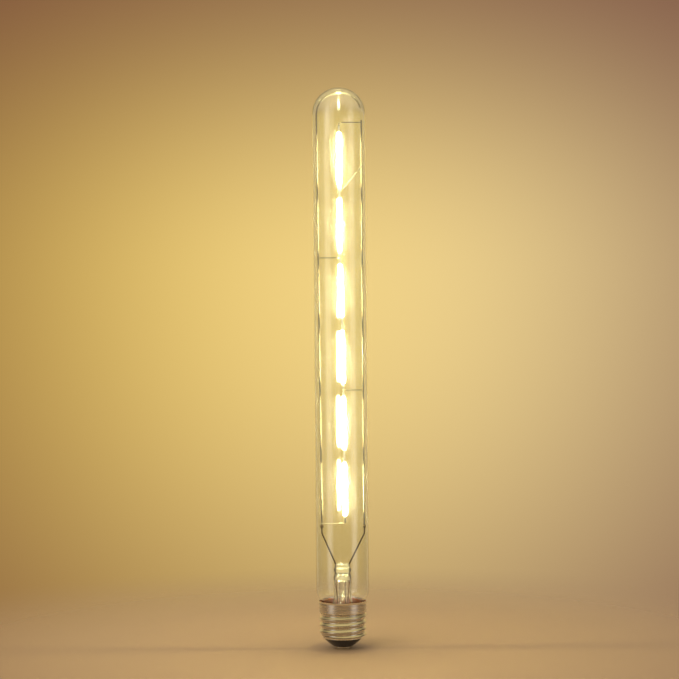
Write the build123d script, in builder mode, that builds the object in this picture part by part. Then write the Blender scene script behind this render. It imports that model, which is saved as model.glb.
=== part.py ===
from build123d import *

import os
from math import cos, radians, sin, sqrt

os.makedirs("parts", exist_ok=True)

# A clear tubular filament lamp with a screw cap, in millimetres.
# Its axis is Z, with the dome up and the origin at the end of the centre contact.
# Left is -X and right is +X, as seen from the front, which is -Y.

# Screw cap
contact_diameter = 9.6
contact_height = 1.3
contact_edge = 0.8
shank_diameter = 3.0
shank_height = 3.4
insulator_cone_height = 4.9
insulator_tip_margin = 0.5
insulator_plug_height = 1.8
shell_sheet = 0.3
collar_step = 0.75
collar_height = 0.7
thread_crest_diameter = 26.4
thread_depth = 1.05
thread_pitch = 25.4 / 7
thread_turns = 3.25
thread_steps_per_turn = 12
run_in_height = 0.9
run_out_height = 1.2
skirt_step = 0.1
skirt_height = 6.2
rim_flare = 0.3
rim_height = 0.9

# Glass
tube_diameter = 30.0
tube_wall = 1.0
dome_tip_wall = 1.8
shoulder_height = 8.0
shoulder_above_cap = 5.0
neck_depth = 6.0
cement_thickness = 1.2
cement_recess = 0.4
dome_room = 21.2

# Stem
stem_diameter = 10.0
stem_wall = 0.8
flare_height = 9.0
flare_edge = 0.8
stem_reach = 20.9
press_height = 9.9
press_shoulder_drop = 7.6
press_shoulder_thickness = 8.4
press_waist_drop = 5.7
press_waist_narrowing = 1.0
press_waist_thickness = 5.0
press_belly_drop = 3.4
press_narrowing = 0.2
press_thickness = 4.6
press_brow_drop = 0.9
press_brow_narrowing = 1.2
press_brow_thickness = 3.8
press_top_narrowing = 2.8
press_top_thickness = 2.4
press_floor = 0.6
exhaust_diameter = 4.0
exhaust_wall = 0.6
exhaust_tip_gap = 3.0

# Filament chain
filament_count = 6
filament_length = 38.0
coat_length = 29.6
coat_width = 2.3
coat_depth = 1.9
coat_corner = 0.8
coat_end_chamfer = 0.4
strip_width = 1.0
strip_thickness = 0.4
strip_end_chamfer = 0.25
terminal_overlap = 0.6
chain_rise = 22.9
straight_filaments = 2
chain_sway = 1.8

# Wires
support_diameter = 0.84
support_top_gap = 0.8
left_foot_gap = 2.1
right_foot_gap = 1.0
crook_gap = 0.2
crook_bend = 30.0
crook_tip_inset = 1.2
crook_tip_turn = 80.0
lead_diameter = 0.84
lead_wall_gap = 0.03
lead_rise = 1.0
lead_bend_drop = 3.9
lead_bend_radius = 3.0
bead_diameter = 2.0
bead_grip = 0.5
bead_drop = 2.0
cross_diameter = 0.5
cross_tail = 0.7
cross_bend_radius = 0.8
cross_coat_gap = 1.2
top_cross_rise = 1.6
lower_cross_drop = 0.3
weld_gap = 0.02
steady_top_rise = 14.7
steady_foot_rise = 1.3
steady_foot_gap = 0.8

# Driver in the cap
liner_gap = 0.35
liner_wall = 0.9
liner_floor = 0.8
liner_hole_diameter = 3.0
liner_headroom = 1.3
ledge_width = 1.2
ledge_height = 1.5
board_thickness = 1.0
board_gap = 0.3
outer_lead_diameter = 0.6
outer_lead_gap = 0.5
outer_lead_bend_radius = 2.0
outer_lead_straight = 3.0
outer_lead_slant = 9.0
live_lead_diameter = 0.7
neutral_lead_diameter = 0.6
neutral_lead_inset = 0.7
neutral_lead_gap = 0.05
neutral_lead_rise = 3.5
neutral_bend_radius = 0.8
chip_length = 4.9
chip_width = 3.9
chip_height = 1.5
chip_edge = 0.3
chip_legs_per_side = 4
chip_leg_pitch = 1.27
chip_leg_width = 0.4
chip_leg_reach = 1.0
chip_leg_thickness = 0.25
chip_place = (-4.0, -3.6)
rectifier_length = 4.7
rectifier_width = 3.9
rectifier_height = 2.2
rectifier_place = (-4.6, 3.4)
capacitor_diameter = 5.0
capacitor_height = 7.0
capacitor_edge = 0.4
capacitor_groove = 0.3
capacitor_groove_rise = 1.6
capacitor_place = (4.2, 3.8)
choke_diameter = 5.6
choke_height = 4.2
choke_flange = 0.8
choke_waist_diameter = 2.6
choke_winding_gap = 0.5
choke_place = (4.2, -3.8)
resistor_diameter = 2.0
resistor_length = 4.6
resistor_waist = 0.15
resistor_end_length = 0.9
resistor_place = (-0.2, -6.3)

# Levels along the axis, from the contact up
shell_bottom = contact_height + insulator_cone_height
collar_top = shell_bottom + collar_height
thread_bottom = collar_top + run_in_height
thread_height = thread_turns * thread_pitch
thread_top = thread_bottom + thread_height
skirt_bottom = thread_top + run_out_height
cap_top = skirt_bottom + skirt_height
neck_bottom = cap_top - neck_depth
shoulder_top = cap_top + shoulder_above_cap
shoulder_bottom = shoulder_top - shoulder_height
flare_top = neck_bottom + flare_height
press_top = cap_top + stem_reach
press_bottom = press_top - press_height
cavity_top = press_bottom + press_floor
filament_pitch = filament_length - terminal_overlap
chain_bottom = press_top + chain_rise
chain_top = chain_bottom + filament_pitch * filament_count + terminal_overlap
dome_tip = chain_top + dome_room
bead_level = chain_bottom - bead_drop
plug_top = shell_bottom + insulator_plug_height
ledge_top = plug_top + liner_floor + ledge_height
board_top = ledge_top + board_thickness
liner_top = neck_bottom - liner_headroom

# Radii that neighbouring pieces share
tube_radius = tube_diameter / 2
tube_inner_radius = tube_radius - tube_wall
dome_centre = dome_tip - tube_radius
inner_dome_centre = dome_tip - dome_tip_wall - tube_inner_radius
crest_radius = thread_crest_diameter / 2
root_radius = crest_radius - thread_depth
thread_radius = (crest_radius + root_radius) / 2
thread_throw = thread_depth / 2
skirt_radius = crest_radius + skirt_step
skirt_inner_radius = skirt_radius - shell_sheet
neck_radius = skirt_inner_radius - cement_thickness
neck_inner_radius = neck_radius - tube_wall
stem_radius = stem_diameter / 2
cavity_radius = stem_radius - stem_wall
collar_radius = root_radius - collar_step
collar_inner_radius = collar_radius - shell_sheet
shank_radius = shank_diameter / 2
liner_radius = root_radius - shell_sheet - liner_gap
liner_inner_radius = liner_radius - liner_wall
board_radius = liner_inner_radius - board_gap
support_radius = support_diameter / 2
lead_spread = cavity_radius - lead_wall_gap - lead_diameter / 2
exhaust_radius = exhaust_diameter / 2
outer_lead_spread = exhaust_radius + outer_lead_gap + outer_lead_diameter / 2
cross_radius = cross_diameter / 2
bead_radius = bead_diameter / 2


def finish(piece, name):
    """Names a finished piece and writes it to its own file."""
    piece.part.label = name
    export_step(piece.part, f"parts/{name}.step")


def wire(points, bend_radius, diameter, plane=Plane.XZ):
    """A round wire along straight runs with rounded bends, drawn in a plane."""
    with BuildPart() as piece:
        with BuildLine(plane) as route:
            if len(points) > 2:
                FilletPolyline(*points, radius=bend_radius)
            else:
                Line(*points)
        with BuildSketch(Plane(origin=route.line @ 0, z_dir=route.line % 0)):
            Circle(diameter / 2)
        sweep(path=route.line)
    return piece


# Screw shell: rolled from thin sheet, so the thread shows inside as well as outside.
# Circles whose middles climb a tight helix draw the rounded thread, from the collar up to the skirt.
def rolled_form(inset):
    """The solid form of the shell, drawn in by an inset."""
    thread_steps = round(thread_turns * thread_steps_per_turn)
    with BuildPart() as form:
        with BuildSketch(Plane.XY.offset(shell_bottom)):
            Circle(collar_radius - inset)
        extrude(amount=collar_height)
        with BuildSketch(Plane.XY.offset(collar_top)):
            Circle(collar_radius - inset)
        for step in range(thread_steps + 1):
            turn = radians(360 * thread_turns * step / thread_steps)
            with BuildSketch(Plane.XY.offset(thread_bottom + thread_height * step / thread_steps)):
                with Locations((thread_throw * cos(turn), thread_throw * sin(turn))):
                    Circle(thread_radius - inset)
        with BuildSketch(Plane.XY.offset(skirt_bottom)):
            Circle(skirt_radius - inset)
        loft(ruled=True)
        with BuildSketch(Plane.XZ):
            with BuildLine():
                Polyline(
                    (0, skirt_bottom),
                    (skirt_radius - inset, skirt_bottom),
                    (skirt_radius - inset, cap_top - rim_height),
                    (skirt_radius + rim_flare - inset, cap_top),
                    (0, cap_top),
                    close=True,
                )
            make_face()
        revolve(axis=Axis.Z)
    return form.part


shell_outside = rolled_form(0)
shell_inside = rolled_form(shell_sheet)
with BuildPart() as screw_shell:
    add(shell_outside)
    add(shell_inside, mode=Mode.SUBTRACT)
finish(screw_shell, "screw_shell")

# Insulator: a black glass plug that narrows from the shell to the contact.
with BuildPart() as cap_insulator:
    with BuildSketch(Plane.XZ):
        tip_radius = contact_diameter / 2 + insulator_tip_margin
        cone_middle = (
            (tip_radius + collar_inner_radius) / 2 + insulator_tip_margin,
            (contact_height + shell_bottom) / 2,
        )
        with BuildLine():
            Line((shank_radius, contact_height), (tip_radius, contact_height))
            ThreePointArc((tip_radius, contact_height), cone_middle, (collar_inner_radius, shell_bottom))
            Polyline(
                (collar_inner_radius, shell_bottom),
                (collar_inner_radius, plug_top),
                (shank_radius, plug_top),
                (shank_radius, contact_height),
            )
        make_face()
    revolve(axis=Axis.Z)
finish(cap_insulator, "cap_insulator")

# Centre contact: a rivet with a rounded head.
with BuildPart() as centre_contact:
    with BuildSketch():
        Circle(contact_diameter / 2)
    extrude(amount=contact_height)
    fillet(edges().group_by(Axis.Z)[0], contact_edge)
    with BuildSketch(Plane.XY.offset(contact_height)):
        Circle(shank_radius)
    extrude(amount=shank_height)
finish(centre_contact, "centre_contact")

# Glass envelope: one blown tube, thicker at the tip of the dome.
shoulder_turn = (tube_radius - neck_radius) / shoulder_height
shoulder_radius = shoulder_height * (1 + shoulder_turn**2) / (4 * shoulder_turn)


def glass_outline(radius, neck, dome_level):
    """One wall line of the envelope, from the neck up to the tip of the dome."""
    middle = ((radius + neck) / 2, (shoulder_top + shoulder_bottom) / 2)
    Line((neck, neck_bottom), (neck, shoulder_bottom))
    RadiusArc((neck, shoulder_bottom), middle, shoulder_radius)
    RadiusArc(middle, (radius, shoulder_top), -shoulder_radius)
    Line((radius, shoulder_top), (radius, dome_level))
    CenterArc((0, dome_level), radius, 0, 90)


with BuildPart() as glass_envelope:
    with BuildSketch(Plane.XZ):
        with BuildLine():
            glass_outline(tube_radius, neck_radius, dome_centre)
            Line((0, dome_tip), (0, dome_tip - dome_tip_wall))
            glass_outline(tube_inner_radius, neck_inner_radius, inner_dome_centre)
            Line((neck_inner_radius, neck_bottom), (neck_radius, neck_bottom))
        make_face()
    revolve(axis=Axis.Z)
finish(glass_envelope, "glass_envelope")


# Support wires: straight along the wall, each leaning a little to its own foot.
support_top_x = tube_inner_radius - support_top_gap - support_radius
left_foot_x = left_foot_gap + support_radius - tube_inner_radius
right_foot_x = tube_inner_radius - right_foot_gap - support_radius
support_foot = bead_level + bead_radius - bead_grip
top_cross_level = chain_top + top_cross_rise
right_support_top = top_cross_level + cross_diameter + cross_tail
crown_radius = tube_inner_radius - crook_gap - support_radius
crook_cosine = cos(radians(crook_bend))
crook_bend_radius = (support_top_x - crown_radius * crook_cosine) / (1 - crook_cosine)
crook_start = inner_dome_centre + (crown_radius - crook_bend_radius) * sin(radians(crook_bend))

# The left wire is bent over under the dome, close to the glass, and ends short of the right wire.
with BuildPart() as left_support_wire:
    with BuildLine(Plane.XZ) as left_route:
        leg = Line((left_foot_x, support_foot), (-support_top_x, crook_start))
        bend = JernArc(leg @ 1, leg % 1, crook_bend_radius, -crook_bend)
        crown = JernArc(bend @ 1, bend % 1, crown_radius, crook_bend - 90)
        JernArc(crown @ 1, crown % 1, crown_radius - crook_tip_inset, -crook_tip_turn)
    with BuildSketch(Plane(origin=left_route.line @ 0, z_dir=left_route.line % 0)):
        Circle(support_radius)
    sweep(path=left_route.line)
finish(left_support_wire, "left_support_wire")

right_support_wire = wire(
    [(right_foot_x, support_foot), (support_top_x, right_support_top)], 0, support_diameter
)
finish(right_support_wire, "right_support_wire")


def support_x(foot_x, top_x, top_level, level):
    """Where a leaning support wire stands at a level."""
    return foot_x + (top_x - foot_x) * (level - support_foot) / (top_level - support_foot)


def left_x(level):
    return support_x(left_foot_x, -support_top_x, crook_start, level)


def right_x(level):
    return support_x(right_foot_x, support_top_x, right_support_top, level)


# Lead wires: up through the press, out to the wall and into a bead that grips the support wire.
def lead_wire(side, foot_x, support):
    bend_level = bead_level - lead_bend_drop
    points = [
        (side * lead_spread, cavity_top),
        (side * lead_spread, press_top + lead_rise - lead_bend_radius / 2),
        (foot_x, bend_level),
        (foot_x, bead_level),
    ]
    rod = wire(points, lead_bend_radius, lead_diameter)
    with BuildPart() as lead:
        add(rod.part)
        with Locations((foot_x, 0, bead_level)):
            Sphere(bead_radius)
        add(support.part, mode=Mode.SUBTRACT)
    return lead


left_lead_wire = lead_wire(-1, left_foot_x, left_support_wire)
finish(left_lead_wire, "left_lead_wire")
right_lead_wire = lead_wire(1, right_foot_x, right_support_wire)
finish(right_lead_wire, "right_lead_wire")

# Stem: a flared tube, closed at the top by a pinched press that seals in the lead wires.
press_sections = (
    (press_bottom, stem_diameter, stem_diameter),
    (press_top - press_shoulder_drop, stem_diameter, press_shoulder_thickness),
    (press_top - press_waist_drop, stem_diameter - press_waist_narrowing, press_waist_thickness),
    (press_top - press_belly_drop, stem_diameter - press_narrowing, press_thickness),
    (press_top - press_brow_drop, stem_diameter - press_brow_narrowing, press_brow_thickness),
    (press_top, stem_diameter - press_top_narrowing, press_top_thickness),
)
with BuildPart() as stem:
    with BuildSketch(Plane.XZ):
        with BuildLine():
            outside = EllipticalCenterArc(
                (neck_inner_radius, flare_top),
                neck_inner_radius - stem_radius,
                flare_height - flare_edge,
                180,
                arc_size=90,
            )
            inside = EllipticalCenterArc(
                (neck_inner_radius, flare_top),
                neck_inner_radius - cavity_radius,
                flare_height,
                180,
                arc_size=90,
            )
            Line(outside @ 1, inside @ 1)
            Polyline(
                outside @ 0,
                (stem_radius, press_bottom),
                (cavity_radius, press_bottom),
                inside @ 0,
            )
        make_face()
    revolve(axis=Axis.Z)
    for level, width, thickness in press_sections:
        with BuildSketch(Plane.XY.offset(level)):
            Ellipse(width / 2, thickness / 2)
    loft()
    with BuildSketch(Plane.XY.offset(press_bottom)):
        Circle(cavity_radius)
    extrude(amount=press_floor, mode=Mode.SUBTRACT)
    add(left_lead_wire.part, mode=Mode.SUBTRACT)
    add(right_lead_wire.part, mode=Mode.SUBTRACT)
finish(stem, "stem")

# Exhaust tube: hangs from the press and is melted shut at its lower tip.
exhaust_tip = board_top + exhaust_tip_gap
with BuildPart() as exhaust_tube:
    with BuildSketch(Plane.XZ):
        with BuildLine():
            tip = CenterArc((0, exhaust_tip + exhaust_radius), exhaust_radius, 270, 90)
            hollow = CenterArc((0, exhaust_tip + exhaust_radius), exhaust_radius - exhaust_wall, 270, 90)
            Line(tip @ 0, hollow @ 0)
            Polyline(
                tip @ 1,
                (exhaust_radius, cavity_top),
                (exhaust_radius - exhaust_wall, cavity_top),
                hollow @ 1,
            )
        make_face()
    revolve(axis=Axis.Z)
finish(exhaust_tube, "exhaust_tube")


# Filaments: flat strips in a chain whose ends overlap, each inside a soft glowing coat.
# Even strips lie behind the middle plane and odd ones in front, so overlapping ends meet flat.
# The first ones hang straight, and the rest sway to the right towards the foot.
def joint(index):
    """The middle of the overlap above a filament, or below the last one."""
    swaying = max(index - straight_filaments, 0) / (filament_count - straight_filaments)
    level = chain_top - terminal_overlap / 2 - index * filament_pitch
    return Vector(chain_sway * sqrt(swaying), 0, level)


def layer(index):
    return -1 if index % 2 else 1


for index in range(filament_count):
    upper = joint(index)
    lower = joint(index + 1)
    centre = (upper + lower) / 2
    along = (upper - lower).normalized()
    with BuildPart() as filament_strip:
        with BuildSketch(Plane(origin=centre, x_dir=along, z_dir=(0, layer(index), 0))):
            Rectangle(filament_length, strip_width)
            chamfer(vertices(), strip_end_chamfer)
        extrude(amount=strip_thickness)
    finish(filament_strip, f"filament_{index + 1}_strip")
    coat_centre = centre + Vector(0, layer(index) * strip_thickness / 2, 0)
    with BuildPart() as filament_coat:
        with BuildSketch(Plane(origin=coat_centre, x_dir=(0, 1, 0), z_dir=along)):
            RectangleRounded(coat_depth, coat_width, coat_corner)
        extrude(amount=coat_length / 2, both=True)
        coat_ends = faces().sort_by(Axis.Z)
        chamfer(coat_ends[0].edges() + coat_ends[-1].edges(), coat_end_chamfer)
        add(filament_strip.part, mode=Mode.SUBTRACT)
    finish(filament_coat, f"filament_{index + 1}_coat")

# Cross wires: welded across a support wire at one end and to the ends of two filaments at the other.
cross_offset = max(strip_thickness, support_radius) + cross_radius + weld_gap
cross_hold = (filament_length - coat_length) / 2 - cross_coat_gap


def behind(side):
    """The plane of the cross wires, in front of the chain for -1 and behind it for 1."""
    return Plane(origin=(0, side * cross_offset, 0), x_dir=(1, 0, 0), z_dir=(0, -1, 0))


upper_joint = joint(2)
upper_cross_wire = wire(
    [(left_x(upper_joint.Z) - cross_tail, upper_joint.Z), (upper_joint.X + strip_width / 2, upper_joint.Z)],
    0,
    cross_diameter,
    behind(-1),
)
finish(upper_cross_wire, "upper_cross_wire")

middle_joint = joint(4)
middle_cross_wire = wire(
    [
        (right_x(middle_joint.Z) + cross_tail, middle_joint.Z),
        (middle_joint.X - strip_width / 2, middle_joint.Z),
    ],
    0,
    cross_diameter,
    behind(-1),
)
finish(middle_cross_wire, "middle_cross_wire")

top_cross_wire = wire(
    [
        (right_x(top_cross_level) + cross_tail, top_cross_level),
        (joint(0).X, top_cross_level),
        (joint(0).X, chain_top - cross_hold),
    ],
    cross_bend_radius,
    cross_diameter,
    behind(layer(0)),
)
finish(top_cross_wire, "top_cross_wire")

lower_cross_level = chain_bottom - lower_cross_drop
lower_cross_wire = wire(
    [
        (left_x(lower_cross_level) - cross_tail, lower_cross_level),
        (joint(filament_count).X, lower_cross_level),
        (joint(filament_count).X, chain_bottom + cross_hold),
    ],
    cross_bend_radius,
    cross_diameter,
    behind(layer(filament_count - 1)),
)
finish(lower_cross_wire, "lower_cross_wire")

# Steady wire: slants down from the right support wire and stops beside the first joint.
steady_top = joint(1).Z + steady_top_rise
steady_wire = wire(
    [
        (right_x(steady_top) + cross_tail / 2, steady_top),
        (joint(1).X + coat_width / 2 + steady_foot_gap, joint(1).Z + steady_foot_rise),
    ],
    0,
    cross_diameter,
    behind(-1),
)
finish(steady_wire, "steady_wire")

# Liner: a plastic cup that keeps the driver off the shell, with a ledge for the board.
with BuildPart() as insulating_liner:
    with BuildSketch(Plane.XZ):
        with BuildLine():
            Polyline(
                (liner_hole_diameter / 2, plug_top),
                (liner_radius, plug_top),
                (liner_radius, liner_top),
                (liner_inner_radius, liner_top),
                (liner_inner_radius, ledge_top),
                (liner_inner_radius - ledge_width, ledge_top),
                (liner_inner_radius - ledge_width, plug_top + liner_floor),
                (liner_hole_diameter / 2, plug_top + liner_floor),
                close=True,
            )
        make_face()
    revolve(axis=Axis.Z)
finish(insulating_liner, "insulating_liner")

# Driver board and what is soldered on it.
with BuildPart() as driver_board:
    with BuildSketch(Plane.XY.offset(ledge_top)):
        Circle(board_radius)
    extrude(amount=board_thickness)
finish(driver_board, "driver_board")

with BuildPart() as bridge_rectifier:
    with BuildSketch(Plane.XY.offset(board_top)):
        with Locations(rectifier_place):
            Rectangle(rectifier_length, rectifier_width)
    extrude(amount=rectifier_height)
    chamfer(edges().group_by(Axis.Z)[-1], chip_edge)
finish(bridge_rectifier, "bridge_rectifier")

with BuildPart() as controller_chip:
    with BuildSketch(Plane.XY.offset(board_top)):
        with Locations(chip_place):
            Rectangle(chip_length, chip_width)
    extrude(amount=chip_height)
    chamfer(edges().group_by(Axis.Z)[-1], chip_edge)
    with BuildSketch(Plane.XY.offset(board_top)):
        with Locations(chip_place):
            with GridLocations(chip_leg_pitch, 0, chip_legs_per_side, 1):
                Rectangle(chip_leg_width, chip_width + 2 * chip_leg_reach)
    extrude(amount=chip_leg_thickness)
finish(controller_chip, "controller_chip")

with BuildPart() as smoothing_capacitor:
    with BuildSketch(Plane.XY.offset(board_top)):
        with Locations(capacitor_place):
            Circle(capacitor_diameter / 2)
    extrude(amount=capacitor_height)
    chamfer(edges().group_by(Axis.Z)[-1], capacitor_edge)
    with BuildSketch(Plane.XY.offset(board_top + capacitor_groove_rise)):
        with Locations(capacitor_place):
            Circle(capacitor_diameter / 2)
            Circle(capacitor_diameter / 2 - capacitor_groove, mode=Mode.SUBTRACT)
    extrude(amount=capacitor_groove, mode=Mode.SUBTRACT)
finish(smoothing_capacitor, "smoothing_capacitor")

# Choke: a ferrite drum with a copper winding between its flanges.
choke_waist_height = choke_height - 2 * choke_flange
with BuildPart() as choke_core:
    with BuildSketch(Plane.XY.offset(board_top)):
        with Locations(choke_place):
            Circle(choke_diameter / 2)
    extrude(amount=choke_height)
    with BuildSketch(Plane.XY.offset(board_top + choke_flange)):
        with Locations(choke_place):
            Circle(choke_diameter / 2)
            Circle(choke_waist_diameter / 2, mode=Mode.SUBTRACT)
    extrude(amount=choke_waist_height, mode=Mode.SUBTRACT)
finish(choke_core, "choke_core")

with BuildPart() as choke_winding:
    with BuildSketch(Plane.XY.offset(board_top + choke_flange)):
        with Locations(choke_place):
            Circle(choke_diameter / 2 - choke_winding_gap)
            Circle(choke_waist_diameter / 2, mode=Mode.SUBTRACT)
    extrude(amount=choke_waist_height)
finish(choke_winding, "choke_winding")

resistor_middle = resistor_length - 2 * resistor_end_length
with BuildPart() as fusible_resistor:
    resistor_centre = (*resistor_place, board_top + resistor_diameter / 2)
    with BuildSketch(Plane(origin=resistor_centre, z_dir=(0, 1, 0))):
        Circle(resistor_diameter / 2)
    extrude(amount=resistor_length / 2, both=True)
    with BuildSketch(Plane(origin=resistor_centre, z_dir=(0, 1, 0))):
        Circle(resistor_diameter / 2)
        Circle(resistor_diameter / 2 - resistor_waist, mode=Mode.SUBTRACT)
    extrude(amount=resistor_middle / 2, both=True, mode=Mode.SUBTRACT)
finish(fusible_resistor, "fusible_resistor")


# Outer leads: from the press, inside the stem and beside the exhaust tube, down to the board.
def outer_lead(side):
    bend_level = cavity_top - outer_lead_straight
    points = [
        (side * lead_spread, cavity_top),
        (side * lead_spread, bend_level),
        (side * outer_lead_spread, bend_level - outer_lead_slant),
        (side * outer_lead_spread, board_top),
    ]
    return wire(points, outer_lead_bend_radius, outer_lead_diameter)


left_outer_lead = outer_lead(-1)
finish(left_outer_lead, "left_outer_lead")
right_outer_lead = outer_lead(1)
finish(right_outer_lead, "right_outer_lead")

# Live lead: straight up from the rivet, through the insulator and the liner, to the board.
with BuildPart() as live_lead:
    with BuildSketch(Plane.XY.offset(contact_height + shank_height)):
        Circle(live_lead_diameter / 2)
    extrude(amount=ledge_top - contact_height - shank_height)
finish(live_lead, "live_lead")

# Neutral lead: over the liner and up between the neck and the shell.
# It stands where the thread ends outermost, so that it clears the rolled wall.
thread_end_angle = radians(360 * thread_turns)
neutral_plane = Plane(
    origin=(0, 0, 0),
    x_dir=(cos(thread_end_angle), sin(thread_end_angle), 0),
    z_dir=(sin(thread_end_angle), -cos(thread_end_angle), 0),
)
neutral_foot = board_radius - neutral_lead_inset
neutral_wall = crest_radius - shell_sheet - neutral_lead_gap - neutral_lead_diameter / 2
neutral_level = (liner_top + neck_bottom) / 2
neutral_lead = wire(
    [
        (neutral_foot, board_top),
        (neutral_foot, neutral_level),
        (neutral_wall, neutral_level),
        (neutral_wall, neutral_level + neutral_lead_rise),
    ],
    neutral_bend_radius,
    neutral_lead_diameter,
    neutral_plane,
)
finish(neutral_lead, "neutral_lead")

# Basing cement: fills the space between the neck and the skirt, round the neutral lead.
with BuildPart() as basing_cement:
    with BuildSketch(Plane.XY.offset(neck_bottom)):
        Circle(skirt_inner_radius)
        Circle(neck_radius, mode=Mode.SUBTRACT)
    extrude(amount=neck_depth - cement_recess)
    add(glass_envelope.part, mode=Mode.SUBTRACT)
    add(neutral_lead.part, mode=Mode.SUBTRACT)
finish(basing_cement, "basing_cement")
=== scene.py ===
import math
from functools import partial

import bmesh
import bpy
from mathutils import Matrix, Vector, noise


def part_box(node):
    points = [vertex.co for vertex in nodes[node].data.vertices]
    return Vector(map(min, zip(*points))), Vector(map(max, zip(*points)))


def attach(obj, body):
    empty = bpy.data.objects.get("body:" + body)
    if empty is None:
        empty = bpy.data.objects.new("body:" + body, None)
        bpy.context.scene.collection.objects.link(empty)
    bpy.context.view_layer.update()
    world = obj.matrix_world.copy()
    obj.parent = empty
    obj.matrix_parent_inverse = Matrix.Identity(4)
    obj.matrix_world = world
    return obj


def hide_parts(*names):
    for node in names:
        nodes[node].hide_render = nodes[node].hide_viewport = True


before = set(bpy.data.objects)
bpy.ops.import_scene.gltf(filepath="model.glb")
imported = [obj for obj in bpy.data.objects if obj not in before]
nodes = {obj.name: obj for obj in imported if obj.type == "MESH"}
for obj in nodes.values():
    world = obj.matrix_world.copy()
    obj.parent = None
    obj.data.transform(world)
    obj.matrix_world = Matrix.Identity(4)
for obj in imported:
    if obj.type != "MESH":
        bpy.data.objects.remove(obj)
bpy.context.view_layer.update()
scene = bpy.context.scene
MM = 0.001

# Levels and radii read from the solids, in metres
glass_low, glass_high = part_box("glass_envelope")
shell_low, shell_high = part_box("screw_shell")
cement_low, cement_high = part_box("basing_cement")
exhaust_low, exhaust_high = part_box("exhaust_tube")
winding_low, winding_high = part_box("choke_winding")
tube_radius = glass_high.x
dome_tip = glass_high.z
neck_bottom = glass_low.z
cap_top = shell_high.z
press_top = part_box("stem")[1].z
exhaust_radius = exhaust_high.x

# Sizes of the blown envelope in metres, and what its glass does to light
tube_wall = 1.0 * MM
dome_tip_wall = 1.8 * MM
neck_radius = 11.8 * MM
shoulder_bottom = cap_top - 3.0 * MM
shoulder_top = cap_top + 5.0 * MM
inner_dome_centre = dome_tip - dome_tip_wall - tube_radius + tube_wall
glass_sides = 144
glass_colour = (0.985, 0.99, 0.985, 1.0)
refractive_index = 1.5
shoulder_steps = 16
tube_steps = 12
dome_steps = 40

# Sizes of the pressed stem and its exhaust tube
stem_radius = 5.0 * MM
stem_sides = 96
cavity_radius = 4.2 * MM
cavity_round = 0.5 * MM
cavity_end_share = 0.9
flare_height = 9.0 * MM
flare_edge = 0.8 * MM
flare_steps = 14
press_height = 9.9 * MM
press_floor = 0.6 * MM
press_crown_half_width = 3.2 * MM
press_crown_half_depth = 0.7 * MM
press_crown_flatness = 0.8
press_steps = 5
press_bottom = press_top - press_height
cavity_top = press_bottom + press_floor
pinch_run = 2.0 * MM
exhaust_wall = 0.6 * MM
exhaust_sides = 48
exhaust_tip_steps = 10
exhaust_tip_centre = exhaust_low.z + exhaust_radius
hairline = 0.03 * MM
sharp_angle = math.radians(40)

# Sizes of the screw shell
collar_top = shell_low.z + 0.7 * MM
thread_bottom = collar_top + 0.9 * MM
thread_pitch = 25.4 / 7 * MM
thread_turns = 3.25
skirt_inner_radius = 13.0 * MM
seam_width = 0.002 * MM

# Sizes of the wires
chain_top = press_top + 247.9 * MM
chain_bottom = press_top + 22.9 * MM
support_diameter = 0.84 * MM
support_top_x = 12.78 * MM
left_foot_x = -11.48 * MM
right_foot_x = 12.58 * MM
support_spacing = 4.0 * MM
bead_level = chain_bottom - 2.0 * MM
bead_radius = 1.0 * MM
bead_reach = 1.05 * MM
bead_steps = 11
bead_end_girth = 0.6
support_foot = bead_level + 0.5 * MM
crown_radius = 13.38 * MM
crook_bend = math.radians(30)
crook_bend_radius = 8.902 * MM
crook_start = inner_dome_centre + (crown_radius - crook_bend_radius) * math.sin(crook_bend)
crook_tip_radius = 12.18 * MM
crook_tip_turn = math.radians(80)
crook_weld_level = chain_top - 3.5 * MM
# The crook above this level gets painted shade, and the inner side of its bend gets a painted highlight
painted_shade_level = crook_start + 2.0 * MM
painted_shade_run = 3.0 * MM
highlight_start = math.radians(-55)
highlight_end = math.radians(35)
highlight_fade = math.radians(8)
highlight_sharpness = 2.5
lead_diameter = 0.84 * MM
lead_spread = 3.75 * MM
lead_rise = press_top - 0.5 * MM
lead_bend_level = bead_level - 3.9 * MM
lead_bend_radius = 3.0 * MM
lead_straight_top = bead_level - 1.1 * MM
wire_spacing = 2.0 * MM
wire_sides = 16
bend_steps = 12
fewest_bend_steps = 4
degrees_a_step = 4
cross_diameter = 0.5 * MM
cross_sides = 12
cross_offset = 0.69 * MM
cross_bend_radius = 0.8 * MM
cross_tail = 0.7 * MM
cross_hold = 3.0 * MM
top_cross_level = chain_top + 1.6 * MM
right_support_top = top_cross_level + 1.2 * MM
lower_cross_level = chain_bottom - 0.3 * MM
steady_rise = 14.7 * MM
steady_foot_rise = 1.3 * MM
steady_foot_gap = 0.8 * MM
weld_depth = support_diameter / 2
winding_wire = 0.4 * MM
winding_turns = 6
winding_sides = 10
coil_steps = 24

# Sizes of the filaments, and their light
filament_count = 6
filament_length = 38.0 * MM
terminal_overlap = 0.6 * MM
filament_pitch = filament_length - terminal_overlap
straight_filaments = 2
chain_sway = 1.8 * MM
strip_thickness = 0.4 * MM
strip_width = 1.0 * MM
coat_length = 29.6 * MM
coat_width = 2.3 * MM
coat_depth = 1.9 * MM
coat_sides = 28
coat_steps = 60
coat_flatness = 0.8
coat_end_round = 0.6 * MM
coat_end_share = 0.72
coat_lump = 0.025
coat_lump_scale = 500
coat_lump_shift = 7.1
end_glow = 0.38
end_glow_run = 4.0 * MM
end_glow_power = 1.5
glow_strength = 180.0
unlit_colour = (0.0, 0.0, 0.0, 1.0)
lit_colour = (1.0, 0.94, 0.46, 1.0)

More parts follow.
